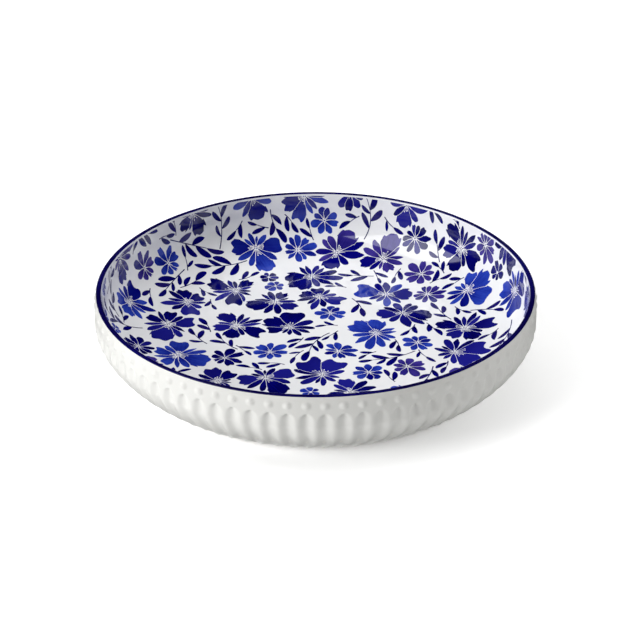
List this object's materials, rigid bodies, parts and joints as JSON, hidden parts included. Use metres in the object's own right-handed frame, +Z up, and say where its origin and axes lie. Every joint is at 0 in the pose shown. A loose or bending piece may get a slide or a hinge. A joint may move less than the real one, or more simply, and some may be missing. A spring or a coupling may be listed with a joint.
{
  "type": "porcelain serving bowl",
  "caption": "Low round porcelain serving bowl with a fluted and beaded outer wall, a blue floral inside, a blue lip band and a bare foot ring.",
  "frame": {"origin": "centre of the flat face of the foot ring, on the surface that the bowl rests on", "axes": "+Z up along the bowl's axis; the bowl is round, so X and Y are free, and a flute ridge lies along -Y"},
  "size_m": [0.257, 0.257, 0.0465],
  "materials": {
    "clay_body": "fired white clay, matt",
    "bare_foot": "ground bare clay, matt",
    "white_glaze": "smooth white glaze, satin gloss",
    "inner_glaze": "clear gloss glaze over white",
    "cobalt_blue": "cobalt blue underglaze colour, gloss"
  },
  "bodies": {
    "root": {"porcelain_body": "clay_body", "foot_ring": "bare_foot", "outer_glaze": "white_glaze", "inner_glaze": "inner_glaze", "base_glaze": "white_glaze", "rim_band": "cobalt_blue"}
  },
  "joints": []
}
